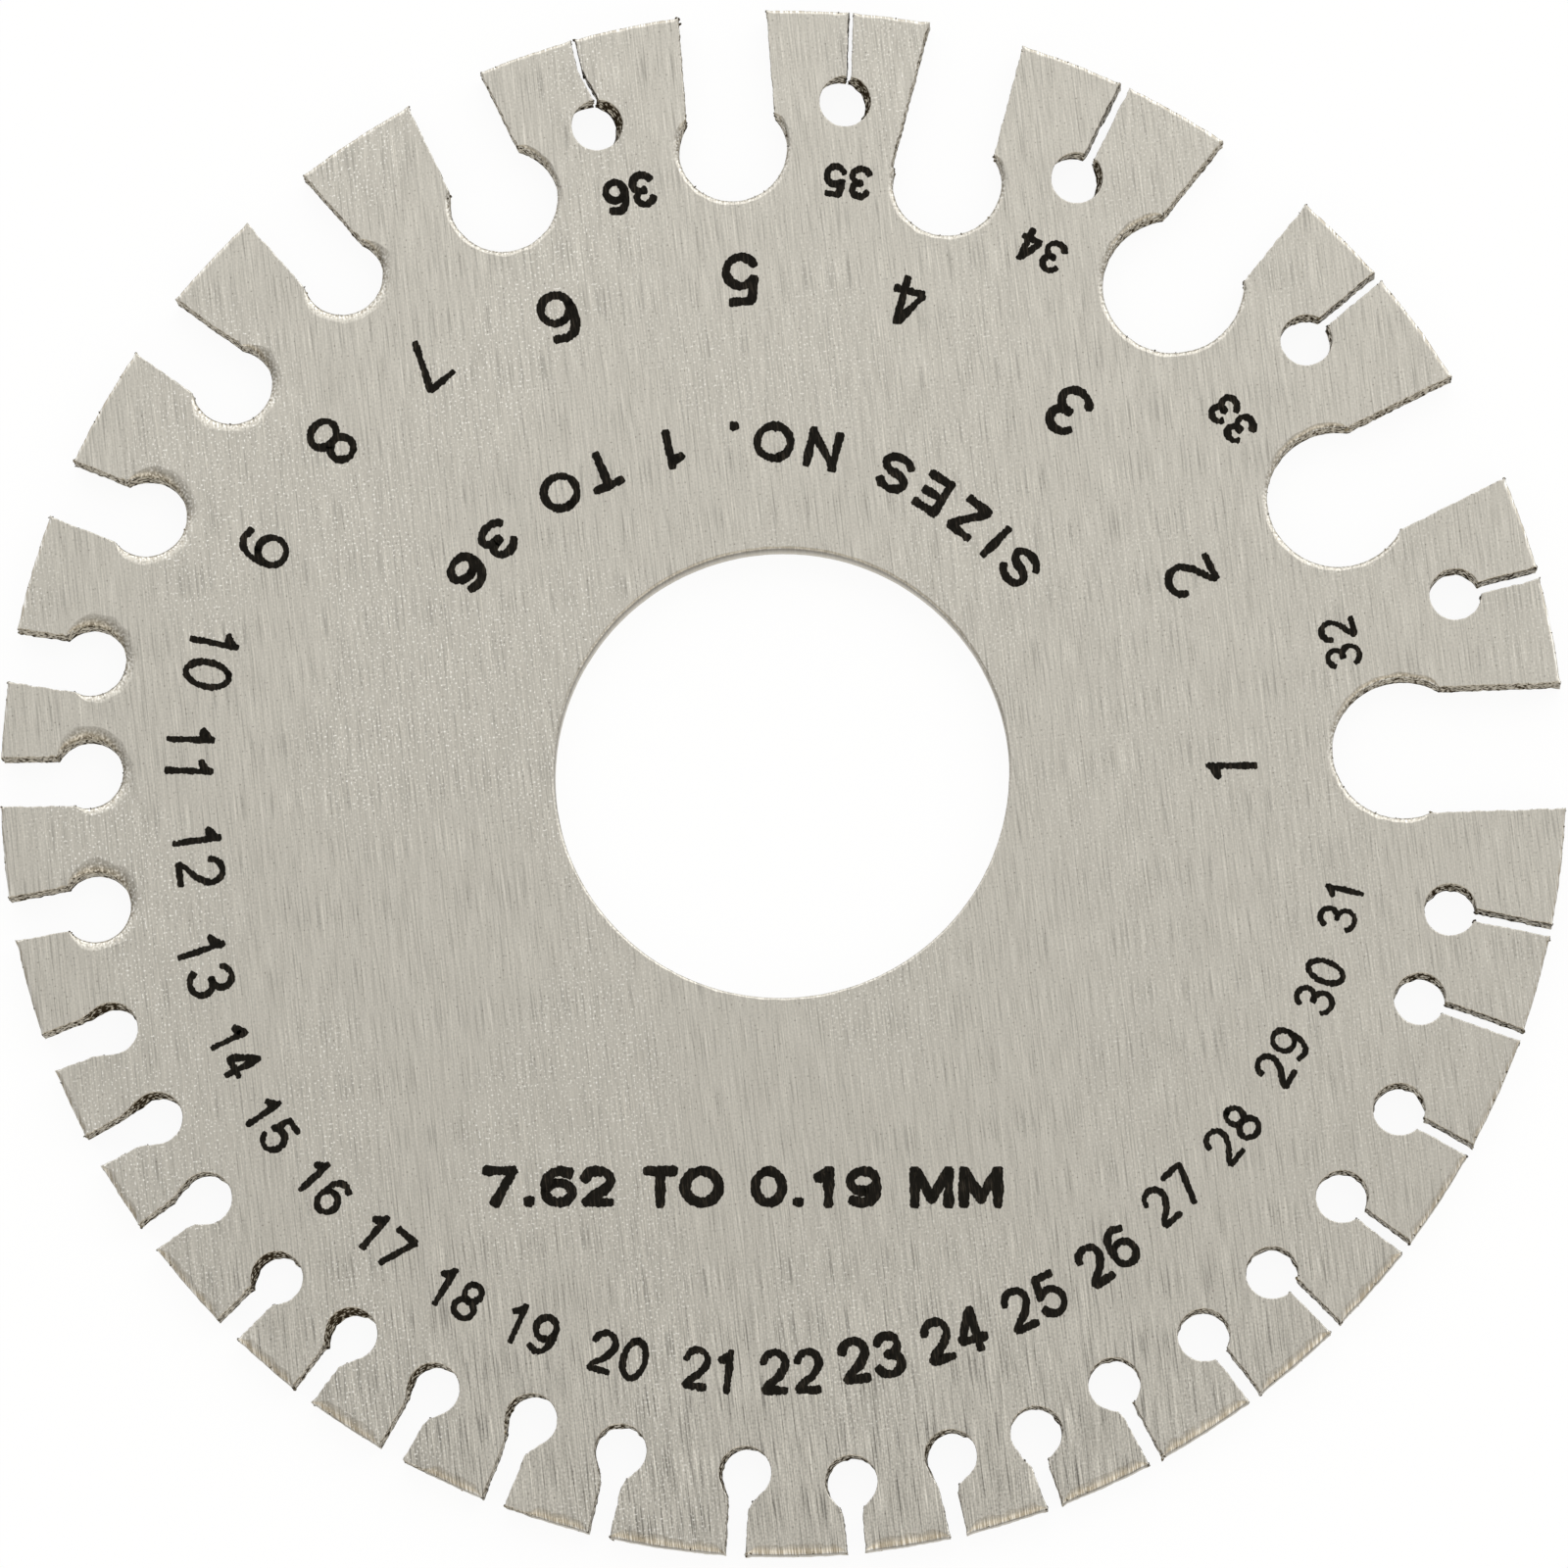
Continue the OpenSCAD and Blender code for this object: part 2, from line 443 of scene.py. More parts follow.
def burr_steel(finish):
    """Torn crumbs of the same steel: dull, darker than the face, each a little different."""
    material, tree = new_material("stainless_burrs_torn")
    place = add(tree, "ShaderNodeTexCoord", out="Object")
    patch = 0.4 * MM
    grains = add(tree, "ShaderNodeTexNoise", {"Vector": place, "Scale": 1 / patch, "Detail": 1})
    spread = add(tree, "ShaderNodeMapRange", (grains, 0.45, 0.75))
    colour = add(
        tree,
        "ShaderNodeMix",
        {"Factor": spread, MIX_A: opaque(finish.torn_wall_dark), MIX_B: opaque(finish.torn_wall)},
        **COLOUR_MIX,
    )
    steel = add(tree, "ShaderNodeBsdfPrincipled", {"Base Color": colour, "Metallic": 1, "Roughness": 0.45})
    add(tree, "ShaderNodeOutputMaterial", {"Surface": steel})
    return material


def matt_ink(finish):
    """Black etching ink, wiped on: matt and nearly black, thinner and browner along the brush lines."""
    material, tree = new_material("etching_ink_matt_black")
    place = add(tree, "ShaderNodeTexCoord", out="Object")
    along = add(
        tree,
        "ShaderNodeMapping",
        {"Vector": place, "Rotation": (0, 0, -finish.brush_lean), "Scale": (1 / MM, 1 / MM, 1 / MM)},
    )
    # Streaks that the wiping left (mm)
    width, length = 0.1, 0.9
    wiped = add(tree, "ShaderNodeVectorMath", (along, (1 / width, 1 / length, 0)), operation="MULTIPLY")
    wipe = add(
        tree, "ShaderNodeTexNoise", {"Vector": wiped, "Scale": 1, "Detail": 2}, noise_dimensions="2D"
    )
    thin = add(tree, "ShaderNodeMapRange", (wipe, 0.55, 0.75))
    colour = add(
        tree,
        "ShaderNodeMix",
        {"Factor": thin, MIX_A: opaque(finish.ink), MIX_B: opaque(finish.ink_worn)},
        **COLOUR_MIX,
    )
    roughness = add(tree, "ShaderNodeMapRange", {"Value": wipe, "To Min": 0.75, "To Max": 0.55})
    ink = add(
        tree,
        "ShaderNodeBsdfPrincipled",
        {"Base Color": colour, "Roughness": roughness, "Specular IOR Level": 0.05},
    )
    add(tree, "ShaderNodeOutputMaterial", {"Surface": ink})
    return material


def back_outlines():
    """Closed outlines of the solid's back face, as lists of points, the longest first."""
    solid = bmesh.new()
    solid.from_mesh(frame["nodes"][PLATE_NODE].data)
    bmesh.ops.remove_doubles(solid, verts=solid.verts, dist=WELD_DISTANCE)
    level = CAD_BOX[0][2] + LEVEL_SLACK
    back = {face for face in solid.faces if all(corner.co.z < level for corner in face.verts)}
    beside = {}
    for edge in solid.edges:
        if sum(face in back for face in edge.link_faces) == 1:
            first, second = edge.verts
            beside.setdefault(first, []).append(second)
            beside.setdefault(second, []).append(first)
    outlines = []
    while beside:
        start = min(beside, key=lambda corner: corner.index)
        outline, before, at = [], None, start
        while True:
            outline.append(at.co.xy.copy())
            ahead = [corner for corner in beside[at] if corner is not before]
            before, at = at, ahead[0]
            if at is start:
                break
        walked = {(point.x, point.y) for point in outline}
        beside = {c: n for c, n in beside.items() if (c.co.x, c.co.y) not in walked}
        outlines.append(outline)
    solid.free()
    if len(outlines) != 2:
        raise RuntimeError(f"the back face has {len(outlines)} outlines, and a gauge plate's has 2")
    return sorted(outlines, key=len, reverse=True)


def turned(outline, clockwise):
    """The outline, running clockwise or anticlockwise."""
    area = sum(a.cross(b) for a, b in zip(outline, outline[1:] + outline[:1]))
    return outline[::-1] if (area < 0) != clockwise else outline


def without_inline_points(outline):
    """The outline without the points that lie on a straight line between their neighbours."""
    kept = []
    for before, at, after in zip(outline[-1:] + outline[:-1], outline, outline[1:] + outline[:1]):
        if abs((at - before).angle_signed(after - at, 0)) > INLINE_TURN:
            kept.append(at)
    return kept


def circle_through(a, b, c):
    """Centre and radius of the circle through three points, or None for a straight line."""
    ab, ac = b - a, c - a
    twice = 2 * ab.cross(ac)
    if abs(twice) < STRAIGHT:
        return None
    square_b, square_c = ab.length_squared, ac.length_squared
    offset = Vector((ac.y * square_b - ab.y * square_c, ab.x * square_c - ac.x * square_b)) / twice
    return a + offset, offset.length


def arcs_of(outline):
    """For each edge of the outline, the circle that it is a chord of, or None where it is straight."""
    count = len(outline)
    circles = [circle_through(outline[i - 1], outline[i], outline[(i + 1) % count]) for i in range(count)]

    def agree(first, second):
        """Whether two points lie on one circle."""
        if first is None or second is None:
            return False
        return (first[0] - second[0]).length < SAME_CENTRE

    inside = [
        agree(circles[i], circles[i - 1]) or agree(circles[i], circles[(i + 1) % count]) for i in range(count)
    ]
    found = []
    for i in range(count):
        after = (i + 1) % count
        circle = circles[i] if inside[i] else circles[after] if inside[after] else None
        chord = (outline[after] - outline[i]).length
        found.append(circle if circle and chord < LONGEST_CHORD * circle[1] else None)
    return found


def edge_kind(circle):
    """Which kind of edge a stretch of the outer outline is."""
    if circle is None:
        return SLOT
    if circle[1] > LARGEST_RELIEF_R:
        return RIM
    if circle[1] > LARGE_R:
        return LARGE_RELIEF
    return PUNCHED_RELIEF if circle[1] > PUNCHED_R else DRILLED_RELIEF


def fine_outline(outline, step, kind_of):
    """Points along the true line of an outline about a step apart, each with its kind of edge."""
    points, kinds = [], []
    circles = arcs_of(outline)
    for at, after, circle in zip(outline, outline[1:] + outline[:1], circles):
        kind = kind_of(circle)
        if circle is None:
            count = max(1, round((after - at).length / step))
            run = [at.lerp(after, i / count) for i in range(count)]
        else:
            centre, radius = circle
            angle = (after - centre).angle_signed(at - centre)
            count = max(1, round(abs(angle) * radius / step))
            run = [centre + Matrix.Rotation(angle * i / count, 2) @ (at - centre) for i in range(count)]
        points += run
        kinds += [kind] * len(run)
    return points, kinds


def to_full_size(outline):
    """A back-face outline moved from the edge breaks of the rim and finger hole out to their walls."""
    near = 0.5 * MM
    moved = []
    for point in outline:
        if point.length > PLATE_R - near:
            point = point * (PLATE_R / point.length)
        elif point.length < FINGER_HOLE_R + near:
            point = point * (FINGER_HOLE_R / point.length)
        moved.append(point)
    return moved


def drill_lean(point, kind):
    """How far the back end of the drilled hole that a point lies on is off its front end."""
    if kind == DRILLED_RELIEF:
        bearing = math.degrees(math.atan2(point.y, point.x)) % 360
        for hole, right, up in DRILL_LEANS:
            if abs(bearing - hole) < DRILLED_SPAN:
                return Vector((right, up)) * MM
    return Vector((0, 0))


# Where necks are broken: how fast that sets in towards the lower rim, and where and how fast it fades to the
# right, by places as shares of the plate's radius
NECK_DOWN, NECK_FADE, NECK_RIGHT = 2, 3, 5
# Least and middle share that a neck is broken by, how far that varies, and in waves of which size
NECK_LEAST, NECK_MIDDLE, NECK_VARIES, NECK_WAVE = 0.2, 0.75, 0.9, 3 * MM


class CutLine:
    """One closed outline with what the edge needs at each of its points."""

    def __init__(self, points, kinds, edges):
        self.points = points
        self.kinds = kinds
        self.count = len(points)
        self.seed = edges.seed
        ahead = [b - a for a, b in zip(points, points[1:] + points[:1])]
        self.gaps = [run.length for run in ahead]
        turns = [ahead[i - 1].angle_signed(ahead[i], 0) for i in range(self.count)]
        # A clockwise turn is positive, and material lies on the left, so a tooth's corner turns to the left
        self.corners = [abs(turn) > CORNER_TURN for turn in turns]
        self.outward_corners = [turn < -CORNER_TURN for turn in turns]
        self.inward = []
        for i in range(self.count):
            along = (ahead[i - 1].normalized() + ahead[i].normalized()).normalized()
            self.inward.append(Vector((-along.y, along.x)))
        self.to_corner = self.distance_to(self.outward_corners)
        self.lean = self.eased([drill_lean(at, kind) for at, kind in zip(points, kinds)])
        self.broken = self.broken_necks(edges.neck_break, edges.neck_reach)

    def wall_at(self, i, level):
        """Where the wall's line lies at a height."""
        return self.points[i] + self.broken[i] + self.lean[i] * (1 - level / THICKNESS)

    def broken_necks(self, size, reach):
        """How far each point was moved where the corner between slot and relief hole is broken off."""
        moves = [Vector((0, 0)) for _ in self.points]
        for neck, corner in enumerate(self.outward_corners):
            if not corner or DRILLED_RELIEF not in (self.kinds[neck - 1], self.kinds[neck]):
                continue
            at = self.points[neck]
            # Along the lower rim, and less and less towards the right
            place = clamped(-NECK_DOWN * at.y / PLATE_R) * clamped(NECK_FADE - NECK_RIGHT * at.x / PLATE_R)
            varied = NECK_MIDDLE + NECK_VARIES * self.uneven(neck, NECK_WAVE, NECK_NOISE)
            chance = max(NECK_LEAST, varied)
            for i, point in enumerate(self.points):
                near = max(0.0, 1 - (point - at).length / reach)
                moves[i] += self.inward[neck] * size * place * chance * near
        return moves

    def distance_to(self, marked):
        """Distance along the line from each point to the nearest marked one."""
        far = 1.0
        reach = [0.0 if mark else far for mark in marked]
        for i in list(range(self.count)) * 2:
            reach[i] = min(reach[i], reach[i - 1] + self.gaps[i - 1])
        for i in list(range(self.count - 1, -1, -1)) * 2:
            after = (i + 1) % self.count
            reach[i] = min(reach[i], reach[after] + self.gaps[i])
        return reach

    def eased(self, values, rounds=4):
        """Values smoothed along the line, so that one kind of edge runs into the next."""
        for _ in range(rounds):
            values = [
                (values[i - 1] + 2 * values[i] + values[(i + 1) % self.count]) / 4 for i in range(self.count)
            ]
        return values

    def uneven(self, i, size, level=0.0):
        """Unevenness from about -1 to 1 at a point, in waves of a size, at a height."""
        at = self.points[i]
        return noise.noise(Vector((at.x / size, at.y / size, level / size + SEED_STEP * self.seed)))


def plate_cut_lines(edges):
    """The plate's outer line and its finger hole, with material on the left of each."""
    outer, hole = back_outlines()
    outer = to_full_size(without_inline_points(turned(outer, clockwise=False)))
    hole = to_full_size(without_inline_points(turned(hole, clockwise=True)))
    return [
        CutLine(*fine_outline(outer, edges.step, edge_kind), edges),
        CutLine(*fine_outline(hole, edges.step, lambda circle: FINGER_HOLE), edges),
    ]


# Waves of a cut line: their size (mm), how much they change down the wall, and their share of the whole
WAVES = ((1.1, 0, 0.55), (0.32, 0.4, 0.7), (0.18, 1, 0.45))
# Share of the holes' straying that the finger hole has, because it was turned
FINGER_HOLE_STRAY = 0.4
# Wear of the rim's rounding: the least share of it, how it rises to the lower rim, and from where
LEAST_WEAR, WEAR_RISE, WEAR_START = 0.35, 1.3, 0.04
# Share of a punched hole's roll that is left at its sides, and how much that gains towards the top
ROLL_LEFT, ROLL_GAIN = 0.82, 0.18
# How much the rounding's width and depth vary along the edge, and in waves of which size
WIDTH_VARIES, WIDTH_WAVE = 0.35, 0.7 * MM
DEPTH_VARIES, DEPTH_WAVE = 0.25, 0.9 * MM
# Room for the rounding at a tooth's corner, its rise along the rim and along the other edges, and how many
# times as much room its depth has
CORNER_ROOM, RIM_RISE, CUT_RISE, DEPTH_ROOM = 0.03 * MM, 0.8, 0.45, 1.5
# How much painted shade there is in a roll on a hole's right side, and in one on its upper side
ROLL_SHADE_RIGHT, ROLL_SHADE_UP = 0.4, 0.9
# Lean of the drill (mm) from which a wall gets painted shade and over which that rises, and what it adds to
# tearing
SHADE_START, SHADE_RANGE, SHADE_GAIN = 0.08, 0.1, 0.6
# How far from a tooth's corner its burr begins, and the size of the waves in it and in a drill's exit burr
BURR_REACH, BURR_WAVE, EXIT_WAVE = 0.35 * MM, 1.7 * MM, 0.5 * MM
# How many rings run over the rounding, and where those down the wall lie, as shares of the way to the back
ROUND_RINGS = 5
WALL_RINGS = (0.25, 0.5, 0.75, 1.0)


class CutEdge:
    """The edge along a cut line as the tools left it: its rounding, how it strays, and its looks."""

    def __init__(self, line, edges):
        self.line = line
        self.edges = edges
        self.span = range(line.count)
        hole, cut = edges.hole_round, edges.cut_break
        turned_stray = FINGER_HOLE_STRAY * edges.hole_uneven
        # For each kind of edge: width and depth of its rounding, its break at the back, how far it strays,
        # and its shares of roll and of tearing. Drilled walls get painted shade as well as tearing, so theirs
        # is over 1
        traits = {
            RIM: (edges.rim_round, edges.rim_drop, hole, edges.rim_uneven, 0, 0),
            FINGER_HOLE: (hole, hole, hole, turned_stray, 0.4, 0),
            LARGE_RELIEF: (edges.large_roll, edges.large_roll, cut, edges.hole_uneven, 1, 1),
            PUNCHED_RELIEF: (edges.roll_width, edges.roll_depth, cut, edges.hole_uneven, 1, 1),
            DRILLED_RELIEF: (cut, cut, cut, edges.hole_uneven, 0.7, 1.4),
            SLOT: (cut, cut, cut, edges.slot_uneven, 0.9, 1),
        }
        width, depth, back, stray, rolled, torn = zip(*(traits[kind] for kind in line.kinds))
        # The rim is worn round along its lower part and nearly sharp elsewhere, and the punch's roll is
        # narrower on a hole's lower side
        part = [1] * line.count
        for i, kind in enumerate(line.kinds):
            if kind == RIM:
                part[i] = clamped(-WEAR_RISE * line.points[i].y / PLATE_R - WEAR_START, least=LEAST_WEAR)
            elif kind == PUNCHED_RELIEF:
                part[i] = ROLL_LEFT + ROLL_GAIN * line.inward[i].y
        width = line.eased([width[i] * part[i] for i in self.span])
        depth = line.eased([depth[i] * part[i] for i in self.span])
        # The rounding varies along the edge, and narrows near a tooth's corner, so that its sides don't cross
        rise = [RIM_RISE if kind == RIM else CUT_RISE for kind in line.kinds]
        room = [CORNER_ROOM + rise[i] * line.to_corner[i] for i in self.span]
        wider = [1 + WIDTH_VARIES * line.uneven(i, WIDTH_WAVE) for i in self.span]
        deeper = [1 + DEPTH_VARIES * line.uneven(i, DEPTH_WAVE, DEPTH_NOISE) for i in self.span]
        self.width = [min(width[i] * wider[i], room[i]) for i in self.span]
        self.depth = [min(depth[i] * deeper[i], DEPTH_ROOM * room[i]) for i in self.span]
        back = line.eased(back)
        self.back = [min(back[i], room[i]) for i in self.span]
        self.stray = line.eased(stray)
        self.rolled = line.eased(rolled)
        self.rimmed = line.eased([1.0 if kind == RIM else 0.0 for kind in line.kinds])
        self.drilled = line.eased([1.0 if kind == DRILLED_RELIEF else 0.0 for kind in line.kinds])
        # Painted shade sits in the rolls that face down and to the left
        facing = [max(0.0, ROLL_SHADE_RIGHT * inward.x + ROLL_SHADE_UP * inward.y) for inward in line.inward]
        self.grimy = [self.rolled[i] * facing[i] for i in self.span]
        # Drilled walls get painted shade, most where the leaning drill pressed on them
        pressed = [-line.inward[i].dot(line.lean[i]) / MM for i in self.span]
        painted_wall_shade = [clamped((press - SHADE_START) / SHADE_RANGE) for press in pressed]
        self.torn = line.eased([torn[i] + SHADE_GAIN * painted_wall_shade[i] for i in self.span])

    def wander(self, i, level):
        """How far the wall strays into the material at a point and a height."""
        uneven = self.line.uneven
        push = self.stray[i] * sum(share * uneven(i, size * MM, down * level) for size, down, share in WAVES)
        near = max(0.0, 1 - self.line.to_corner[i] / BURR_REACH)
        burr = self.edges.corner_burr * near * near * (0.5 + 0.5 * uneven(i, BURR_WAVE, BURR_NOISE))
        # The drill's burr hangs at the back end
        left = max(0.0, uneven(i, EXIT_WAVE, EXIT_NOISE)) * (1 - level / THICKNESS) ** 3
        return push - burr * self.rimmed[i] - self.edges.exit_burr * left * self.drilled[i]

    def place(self, i, level, inset=0.0):
        """Where the edge lies at a point of the line and a height, and an inset into the material."""
        return self.line.wall_at(i, level) + self.line.inward[i] * (inset + self.wander(i, level))

    def rings(self):
        """Rings of points from the numbered face over the edge and down the wall to the back face.

        Gives a list of rings, and for each ring its points' shares, in the order of EDGE_SHARES.
        """
        rings, shares = [], []
        for k in range(ROUND_RINGS):
            # No share on the first ring, because the flat face has its points too
            over = k / (ROUND_RINGS - 1)
            angle = math.radians(90) * over
            ring, share = [], []
            for i in self.span:
                at = self.place(i, THICKNESS, self.width[i] * (1 - math.sin(angle)))
                ring.append((at.x, at.y, THICKNESS - self.depth[i] * (1 - math.cos(angle))))
                # Roll and rim show early on the rounding, and the wall only at its end
                roll, rim = self.rolled[i] * min(1, 1.4 * over), self.rimmed[i] * min(1, 2 * over)
                share.append((over**5, roll, self.grimy[i] * over, rim, self.torn[i] * over))
            rings.append(ring)
            shares.append(share)
        for down in WALL_RINGS:
            ring = []
            for i in self.span:
                level = (THICKNESS - self.depth[i]) * (1 - down) + self.back[i] * down
                at = self.place(i, level)
                ring.append((at.x, at.y, level))
            rings.append(ring)
            shares.append([(1.0, 0.0, 0.0, 0.0, self.torn[i]) for i in self.span])
        last = [self.place(i, 0, self.back[i]) for i in self.span]
        rings.append([(at.x, at.y, 0.0) for at in last])
        shares.append([(0.0, 0.0, 0.0, 0.0, 0.0)] * self.line.count)
        return rings, shares


def is_within(point, ring):
    """Whether a point lies inside a closed ring of points."""
    odd = False
    for a, b in zip(ring, ring[1:] + ring[:1]):
        if (a.y > point.y) != (b.y > point.y) and point.x < a.x + (b.x - a.x) * (point.y - a.y) / (b.y - a.y):
            odd = not odd
    return odd


def flat_face(rings):
    """Triangles, facing up, that fill the sheet between its outer ring and the finger hole's ring."""
    outer, hole = ([Vector((x, y)) / MM for x, y, _ in ring] for ring in rings)
    sides = [(i, (i + 1) % len(outer)) for i in range(len(outer))]
    sides += [(len(outer) + i, len(outer) + (i + 1) % len(hole)) for i in range(len(hole))]
    # Triangles between the sides only, where points nearer than the second number are one (mm)
    between, nearest = 1, 1e-6
    corners, _, triangles, *_ = delaunay_2d_cdt(outer + hole, sides, [], between, nearest)
    if len(corners) != len(sides):
        raise RuntimeError("the face's outline crosses itself")
    kept = []
    for triangle in triangles:
        middle = sum((corners[n] for n in triangle), Vector((0, 0))) / 3
        if min(triangle) < len(outer) or not is_within(middle, hole):
            kept.append(tuple(triangle))
    return kept


def piece_from(name, mesh):
    """A mesh as a piece of the part, riding on its body and finished from a material slot."""
    piece = bpy.data.objects.new(name, mesh)
    bpy.context.scene.collection.objects.link(piece)
    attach(piece, BODY)
    return piece


class GAUGE_OT_plate(bpy.types.Operator):
    """Build the plate on the solid's outline, with rolled, broken and uneven edges"""

    bl_idname = "gauge.plate"
    bl_label = "Plate"

    def execute(self, context):
        edges = context.scene.gauge_edges
        points, shares, faces, sharp = [], [], [], set()
        fronts, backs = [], []
        for line in plate_cut_lines(edges):
            rings, ring_shares = CutEdge(line, edges).rings()
            first = len(points)
            for ring, share in zip(rings, ring_shares):
                points += ring
                shares += share
            count = line.count
            for r in range(len(rings) - 1):
                upper, lower = first + r * count, first + (r + 1) * count
                for i in range(count):
                    after = (i + 1) % count
                    faces.append((upper + i, lower + i, lower + after, upper + after))
                    if line.corners[i]:
                        sharp.add((upper + i, lower + i))
            last = first + (len(rings) - 1) * count
            for start in (first, last):
                for i in range(count):
                    after = (i + 1) % count
                    sharp.add((min(start + i, start + after), max(start + i, start + after)))
            fronts.append(list(range(first, first + count)))
            backs.append(list(range(last, last + count)))
        for lines, up in ((fronts, True), (backs, False)):
            numbers = [n for ring in lines for n in ring]
            for triangle in flat_face([[points[n] for n in ring] for ring in lines]):
                corners = tuple(numbers[n] for n in triangle)
                faces.append(corners if up else corners[::-1])
        mesh = bpy.data.meshes.new("plate")
        mesh.from_pydata(points, [], faces)
        mesh.polygons.foreach_set("use_smooth", [True] * len(mesh.polygons))
        marks = mesh.attributes.new("sharp_edge", "BOOLEAN", "EDGE")
        marks.data.foreach_set("value", [tuple(sorted(edge.vertices)) in sharp for edge in mesh.edges])
        for k, name in enumerate(EDGE_SHARES):
            share = mesh.attributes.new(name, "FLOAT", "POINT")
            share.data.foreach_set("value", [values[k] for values in shares])
        mesh.materials.append(brushed_steel(context.scene.gauge_finish))
        mesh.validate()
        plate = piece_from("plate", mesh)
        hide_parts(PLATE_NODE)
        return {"FINISHED"}


def new_tree(name, inputs):
    """A Geometry Nodes tree with geometry in and out and more inputs, given as (name, socket kind)."""
    tree = bpy.data.node_groups.new(name, "GeometryNodeTree")
    tree.interface.new_socket("Geometry", in_out="INPUT", socket_type="NodeSocketGeometry")
    for label, kind in inputs:
        tree.interface.new_socket(label, in_out="INPUT", socket_type=kind)
    tree.interface.new_socket("Geometry", in_out="OUTPUT", socket_type="NodeSocketGeometry")
    return tree, add(tree, "NodeGroupInput").node.outputs


def grown_mesh(carrier, tree, values):
    """The plain mesh that a Geometry Nodes tree grows on a carrier object, which is then removed."""
    grower = carrier.modifiers.new("grow", "NODES")
    grower.node_group = tree
    for socket in tree.interface.items_tree:
        if socket.in_out == "INPUT" and socket.name in values:
            grower[socket.identifier] = values[socket.name]
    bpy.context.view_layer.update()
    evaluated = carrier.evaluated_get(bpy.context.evaluated_depsgraph_get())
    mesh = bpy.data.meshes.new_from_object(evaluated)
    carrier.modifiers.remove(grower)
    bpy.data.objects.remove(carrier)
    if not mesh.polygons:
        raise RuntimeError(f"{tree.name} grew nothing")
    return mesh


def crumb_tree():
    """Scatters burr crumbs on points: on a share of them, each turned and sized by chance."""
    tree, given = new_tree(
        "burr crumbs",
        [
            ("Size", "NodeSocketFloat"),
            ("Share", "NodeSocketFloat"),
            ("Seed", "NodeSocketInt"),
            ("Steel", "NodeSocketMaterial"),
        ],
    )
    chosen = add(
        tree,
        "FunctionNodeRandomValue",
        {"Probability": given["Share"], "Seed": given["Seed"]},
        out=RANDOM_BOOLEAN,
        data_type="BOOLEAN",
    )
    turn = add(
        tree,
        "FunctionNodeRandomValue",
        {0: (0, 0, 0), 1: (math.tau, math.tau, math.tau), "Seed": given["Seed"]},
        data_type="FLOAT_VECTOR",
    )
    # Least and largest size of a crumb along its three axes, so that most are slivers
    least, most = (0.4, 0.4, 0.3), (1.6, 0.9, 0.7)
    grain = add(
        tree,
        "FunctionNodeRandomValue",
        {0: least, 1: most, "Seed": given["Seed"]},
        data_type="FLOAT_VECTOR",
    )
    crumb = add(tree, "GeometryNodeMeshIcoSphere", {"Radius": given["Size"], "Subdivisions": 1})
    spread = add(
        tree,
        "GeometryNodeInstanceOnPoints",
        {
            "Points": given["Geometry"],
            "Selection": chosen,
            "Instance": crumb,
            "Rotation": turn,
            "Scale": grain,
        },
    )
    real = add(tree, "GeometryNodeRealizeInstances", {"Geometry": spread})
    finished = add(tree, "GeometryNodeSetMaterial", {"Geometry": real, "Material": given["Steel"]})
    add(tree, "NodeGroupOutput", {"Geometry": finished})
    return tree


def crumbs_on(context, name, spots, size, share):
    """Grows burr crumbs on a share of the spots and makes a piece of them."""
    mesh = bpy.data.meshes.new(name)
    mesh.from_pydata(spots, [], [])
    carrier = bpy.data.objects.new(name + "_places", mesh)
    context.scene.collection.objects.link(carrier)
    steel = burr_steel(context.scene.gauge_finish)
    values = {"Size": size, "Share": share, "Seed": context.scene.gauge_edges.seed, "Steel": steel}
    return piece_from(name, grown_mesh(carrier, crumb_tree(), values))


class GAUGE_OT_burrs(bpy.types.Operator):
    """Leave metal crumbs along the cut edges and burrs on the corners of the teeth"""

    bl_idname = "gauge.burrs"
    bl_label = "Burrs"

    # Shares of the places along the edges and on the corners that hold a crumb
    edge_share = 0.22
    corner_share = 0.7
    # Heights of the crumbs on a corner and of those low on a wall, as shares of the thickness
    corner_heights = (0.2, 0.6, 0.93)
    low_height = 0.25
    # How far a crumb is sunk into its wall, as a share of its size
    sunk = 0.4

    def execute(self, context):
        edges = context.scene.gauge_edges
        outer = plate_cut_lines(edges)[0]
        along, corners = [], []
        for i in range(outer.count):
            if outer.outward_corners[i]:
                spots, levels = corners, [share * THICKNESS for share in self.corner_heights]
            elif i % 2 == 0:
                # By turns under the front edge and low on the wall
                spots, levels = along, [THICKNESS - edges.cut_break if i % 4 else self.low_height * THICKNESS]
            else:
                continue
            for level in levels:
                at = outer.wall_at(i, level) + outer.inward[i] * self.sunk * edges.crumb
                spots.append((at.x, at.y, level))
        crumbs_on(context, "edge_burrs", along, edges.crumb, self.edge_share)
        crumbs_on(context, "corner_burrs", corners, edges.corner_crumb, self.corner_share)
        return {"FINISHED"}


# Angle between two points along a bow (deg), and where an oval starts and ends
BOW_STEP = 12
OVAL_START, OVAL_END = 90, 480


def bow(x, y, half_width, half_height, start, end):
    """Points along an oval's edge between two angles in degrees, anticlockwise where end is larger."""
    count = max(2, round(abs(end - start) / BOW_STEP))
    angles = [math.radians(start + (end - start) * i / count) for i in range(count + 1)]
    return [(x + half_width * math.cos(a), y + half_height * math.sin(a)) for a in angles]


def oval(x, y, half_width, half_height):
    """A whole oval, whose end runs a little over its start."""
    return bow(x, y, half_width, half_height, OVAL_START, OVAL_END)


SIX = [
    [(0.2, 0.93), (0.03, 1), (-0.13, 0.94), (-0.23, 0.76), (-0.275, 0.52), (-0.265, 0.31)],
    oval(0, 0.31, 0.265, 0.31),
]

